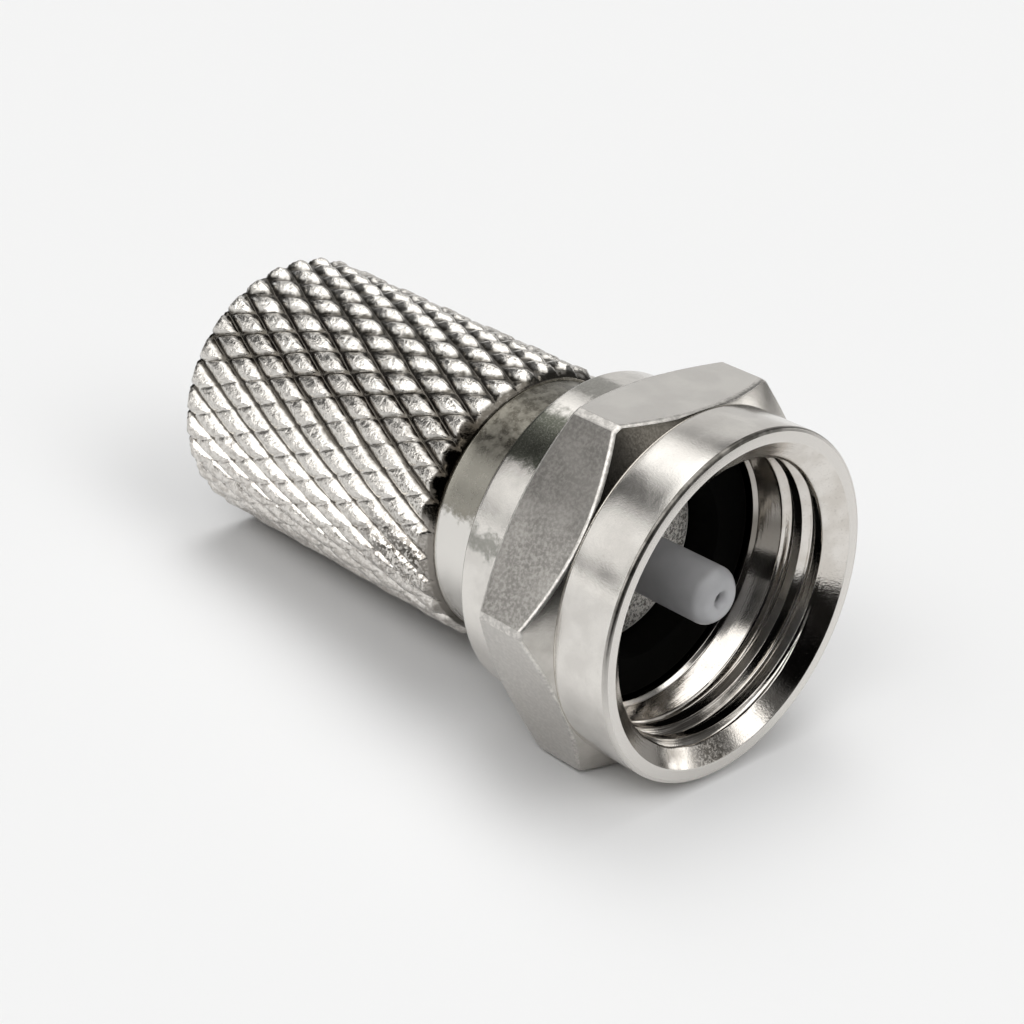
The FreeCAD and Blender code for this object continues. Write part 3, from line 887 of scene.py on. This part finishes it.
# ------------------------------------------------------------------ turned pieces
ferrule_corners = [
    (-4.41, 0.92, 0.0), (-4.41, 2.86, 0.11), (-4.62, 2.86, 0.02), (-4.62, 4.20, 0.05), (-5.20, 4.20, 0.05),
    (-5.20, 2.90, 0.02), (-10.30, 2.90, 0.05), (-10.30, 2.40, 0.05), (-6.80, 2.40, 0.02), (-6.80, 2.10, 0.02),
    (-5.05, 2.10, 0.0), (-5.05, 0.92, 0.0)]
ferrule_ob = turned_piece("ferrule_turned", ferrule_corners, 192, lambda t0, t1: 0 if t1 in (1,) or t0 == 1 and t1 == 2 else 1,
                          [M_FERRULE, M_BORE], "plug", "ferrule")
seal_corners = [(-3.26, 2.90, 0.10), (-3.26, 4.20, 0.10), (-4.62, 4.20, 0.03), (-4.62, 2.90, 0.03)]
seal_ob = turned_piece("seal_ring", seal_corners, 192, lambda t0, t1: 0, [M_RUBBER], "plug", "sealing_ring")
guide_corners = [
    (-0.86, 0.17, 0.05), (-0.60, 0.28, 0.10), (-0.60, 0.62, 0.12), (-0.90, 0.90, 0.16), (-5.05, 0.90, 0.02),
    (-5.05, 2.10, 0.05), (-6.45, 2.10, 0.06), (-6.45, 1.70, 0.06), (-5.60, 0.33, 0.08), (-1.30, 0.33, 0.10)]
guide_ob = turned_piece("guide_bush", guide_corners, 160, lambda t0, t1: 0, [M_PLASTIC], "plug", "conductor_guide")

# ------------------------------------------------------------------ floor
fm = bpy.data.meshes.new("floor")
F = 1.2
fm.from_pydata([(-F, -F, 0), (F, -F, 0), (F, F, 0), (-F, F, 0)], [], [(0, 1, 2, 3)])
floor = bpy.data.objects.new("floor", fm)
bpy.context.scene.collection.objects.link(floor)
mf, nf, bf = material("floor_white", Metallic=0.0, Roughness=0.9)
bf.inputs["Base Color"].default_value = (0.85, 0.85, 0.848, 1)
bf.inputs["Specular IOR Level"].default_value = 0.0
fm.materials.append(mf)

# ------------------------------------------------------------------ studio light
class Sky:
    """Soft lights by direction. Azimuth 0 is -Y and +90 is +X, in degrees."""

    def __init__(self, nodes, coord):
        self.n = nodes
        v = nodes.new("ShaderNodeVectorMath", operation="NORMALIZE")
        nodes.put(v, 0, coord)
        self.dir = v.outputs[0]
        sp = nodes.new("ShaderNodeSeparateXYZ")
        nodes.put(sp, 0, self.dir)
        x, y, z = sp.outputs
        self.az = nodes.math("DEGREES", nodes.math("ARCTAN2", x, nodes.math("MULTIPLY", y, -1.0)))
        z = nodes.math("MINIMUM", nodes.math("MAXIMUM", z, -1.0), 1.0)
        self.el = nodes.math("DEGREES", nodes.math("ARCSINE", z))

    def lobe(self, az, el, inner, outer, strength):
        """Round light: full inside `inner` degrees, gone at `outer`."""
        n, a, e = self.n, math.radians(az), math.radians(el)
        dp = n.new("ShaderNodeVectorMath", operation="DOT_PRODUCT")
        n.put(dp, 0, self.dir)
        dp.inputs[1].default_value = (math.sin(a) * math.cos(e), -math.cos(a) * math.cos(e), math.sin(e))
        c = n.math("MINIMUM", n.math("MAXIMUM", dp.outputs["Value"], -1.0), 1.0)
        return n.ramp(n.math("DEGREES", n.math("ARCCOSINE", c)), inner, outer, strength, 0.0)

    def panel(self, az, el, half_az, half_el, soft, strength):
        """Upright panel."""
        n = self.n
        da = n.math("ABSOLUTE", n.math("WRAP", n.math("SUBTRACT", self.az, az), 180.0, -180.0))
        de = n.math("ABSOLUTE", n.math("SUBTRACT", self.el, el))
        ma = n.ramp(da, half_az - soft / 2, half_az + soft / 2, 1.0, 0.0)
        me = n.ramp(de, half_el - soft / 2, half_el + soft / 2, 1.0, 0.0)
        return n.math("MULTIPLY", n.math("MULTIPLY", ma, me), strength)

    def total(self, base, parts):
        out = base
        for q in parts:
            out = self.n.math("ADD", q, out)
        return out


# The world lights what scatters light: the floor, the rubber and the plastic.
world = bpy.data.worlds.new("studio")
bpy.context.scene.world = world
world.use_nodes = True
wt = world.node_tree
wt.nodes.clear()
W = Nodes(wt)
wo = W.new("ShaderNodeOutputWorld")
bg = W.new("ShaderNodeBackground")
wt.links.new(bg.outputs[0], wo.inputs[0])
wc = W.new("ShaderNodeTexCoord")
sky = Sky(W, wc.outputs["Generated"])
W.put(bg, "Strength", sky.total(0.0, [
    sky.lobe(90, 45, 4, 24, 3.70), sky.lobe(0, 45, 4, 24, 3.23), sky.lobe(30, 45, 4, 24, 3.18),
    sky.lobe(-120, 75, 4, 24, 2.34), sky.lobe(-120, 60, 4, 24, 1.69), sky.lobe(-60, 75, 4, 24, 1.64),
    sky.lobe(120, 60, 4, 24, 1.58), sky.lobe(180, 75, 4, 24, 0.99), sky.lobe(-30, 45, 4, 24, 0.78),
    sky.lobe(0, 90, 4, 24, 0.58), sky.lobe(90, 60, 4, 24, 0.36), sky.lobe(-150, 60, 4, 24, 0.34),
    sky.lobe(0, 60, 4, 24, 0.26)]))
bg.inputs["Color"].default_value = (1.0, 1.0, 1.0, 1.0)
world.cycles.sampling_method = "MANUAL"
world.cycles.sample_map_resolution = 512
world.cycles_visibility.glossy = False

# A large dome gives the metal what it mirrors: soft box above, pale walls, gaps.
DOME = 0.5
rings_n, cols_n = 24, 48
dv, df = [], []
for i in range(rings_n + 1):
    e = math.pi * (i / rings_n - 0.5)
    for k in range(cols_n):
        q = 2 * math.pi * k / cols_n
        dv.append((DOME * math.cos(e) * math.cos(q), DOME * math.cos(e) * math.sin(q), DOME * math.sin(e)))
for i in range(rings_n):
    for k in range(cols_n):
        k2 = (k + 1) % cols_n
        df.append((i * cols_n + k, i * cols_n + k2, (i + 1) * cols_n + k2, (i + 1) * cols_n + k))
dm = bpy.data.meshes.new("dome")
dm.from_pydata(dv, [], df)
dome = bpy.data.objects.new("dome", dm)
bpy.context.scene.collection.objects.link(dome)
md = bpy.data.materials.new("dome_light")
md.use_nodes = True
md.node_tree.nodes.clear()
D = Nodes(md.node_tree)
do = D.new("ShaderNodeOutputMaterial")
de = D.new("ShaderNodeEmission")
md.node_tree.links.new(de.outputs[0], do.inputs[0])
dc = D.new("ShaderNodeTexCoord")
box = Sky(D, dc.outputs["Object"])
lights = box.total(0.13, [
    box.lobe(50, 80, 35, 46, 1.70),          # soft box above
    box.lobe(-101, 50, 5, 19, 1.35),         # its left end
    box.panel(-141, 10, 30, 32, 16, 0.60),   # pale wall, back left
    box.panel(-43, 28, 12, 15, 10, 0.92),    # front left
    box.panel(-8, 30, 17, 21, 8, 2.60),      # bright wall, front
    box.panel(-36, 2, 14, 5, 5, 1.00),       # low pale wall, front left
    box.lobe(158, 11, 5, 11, 2.10),          # window behind
    box.lobe(115, 32, 5, 12, 1.90),          # window on the right
    box.panel(135, 12, 16, 12, 12, 0.55),    # pale wall between them
])
gap = box.lobe(62, 14, 27, 37, 0.98)         # the dark side
only = D.new("ShaderNodeLightPath")
direct = D.math("LESS_THAN", only.outputs["Diffuse Depth"], 0.5)
lights = D.math("MULTIPLY", lights, D.math("SUBTRACT", 1.0, gap))
D.put(de, "Strength", D.math("MULTIPLY", lights, direct))
de.inputs["Color"].default_value = (1.0, 0.995, 0.985, 1.0)
dm.materials.append(md)
md.cycles.emission_sampling = "NONE"
dome.visible_camera = False
dome.visible_diffuse = False
dome.visible_transmission = False
dome.visible_volume_scatter = False
dome.visible_shadow = False

# A black card on the right, so that the metal mirrors no floor beyond it.
card_mesh = bpy.data.meshes.new("card")
card_mid, card_az = Vector((0.0316, -0.0028, 0.0)), math.radians(68.0)
along = Vector((math.cos(card_az), math.sin(card_az), 0.0))
card_pts = []
for i in range(13):
    t = (i - 6) / 6.0
    foot = card_mid + along * (0.022 * t) - Vector((math.sin(card_az), -math.cos(card_az), 0.0)) * (0.009 * t * t)
    card_pts += [tuple(foot), tuple(foot + Vector((0.0, 0.0, 0.007)))]
card_mesh.from_pydata(card_pts, [], [(2 * i, 2 * i + 2, 2 * i + 3, 2 * i + 1) for i in range(12)])
card = bpy.data.objects.new("card", card_mesh)
bpy.context.scene.collection.objects.link(card)
mc, ncd, bc = material("card_black", Metallic=0.0, Roughness=1.0)
bc.inputs["Base Color"].default_value = (0.02, 0.019, 0.018, 1)
bc.inputs["Specular IOR Level"].default_value = 0.0
card_mesh.materials.append(mc)
card.visible_camera = False
card.visible_diffuse = False
card.visible_transmission = False
card.visible_volume_scatter = False
card.visible_shadow = False

# ------------------------------------------------------------------ camera
cam_data = bpy.data.cameras.new("camera")
cam = bpy.data.objects.new("camera", cam_data)
bpy.context.scene.collection.objects.link(cam)
bpy.context.scene.camera = cam
cam_data.sensor_fit = "AUTO"
cam_data.sensor_width = 36.0
cam_data.lens = 84.375
cam_data.clip_start, cam_data.clip_end = 0.002, 10.0
cam_data.dof.use_dof = False
right, up, back = (0.693077, 0.709787, 0.125883), (-0.41373, 0.248668, 0.875781), (0.590315, -0.659065, 0.466006)
cam.matrix_world = Matrix((
    (right[0], up[0], back[0], 0.044500),
    (right[1], up[1], back[1], -0.048794),
    (right[2], up[2], back[2], 0.039149),
    (0, 0, 0, 1)))

sc = bpy.context.scene
sc.view_settings.view_transform = "Standard"
sc.view_settings.look = "None"
sc.view_settings.exposure = 0.0
sc.view_settings.gamma = 1.0
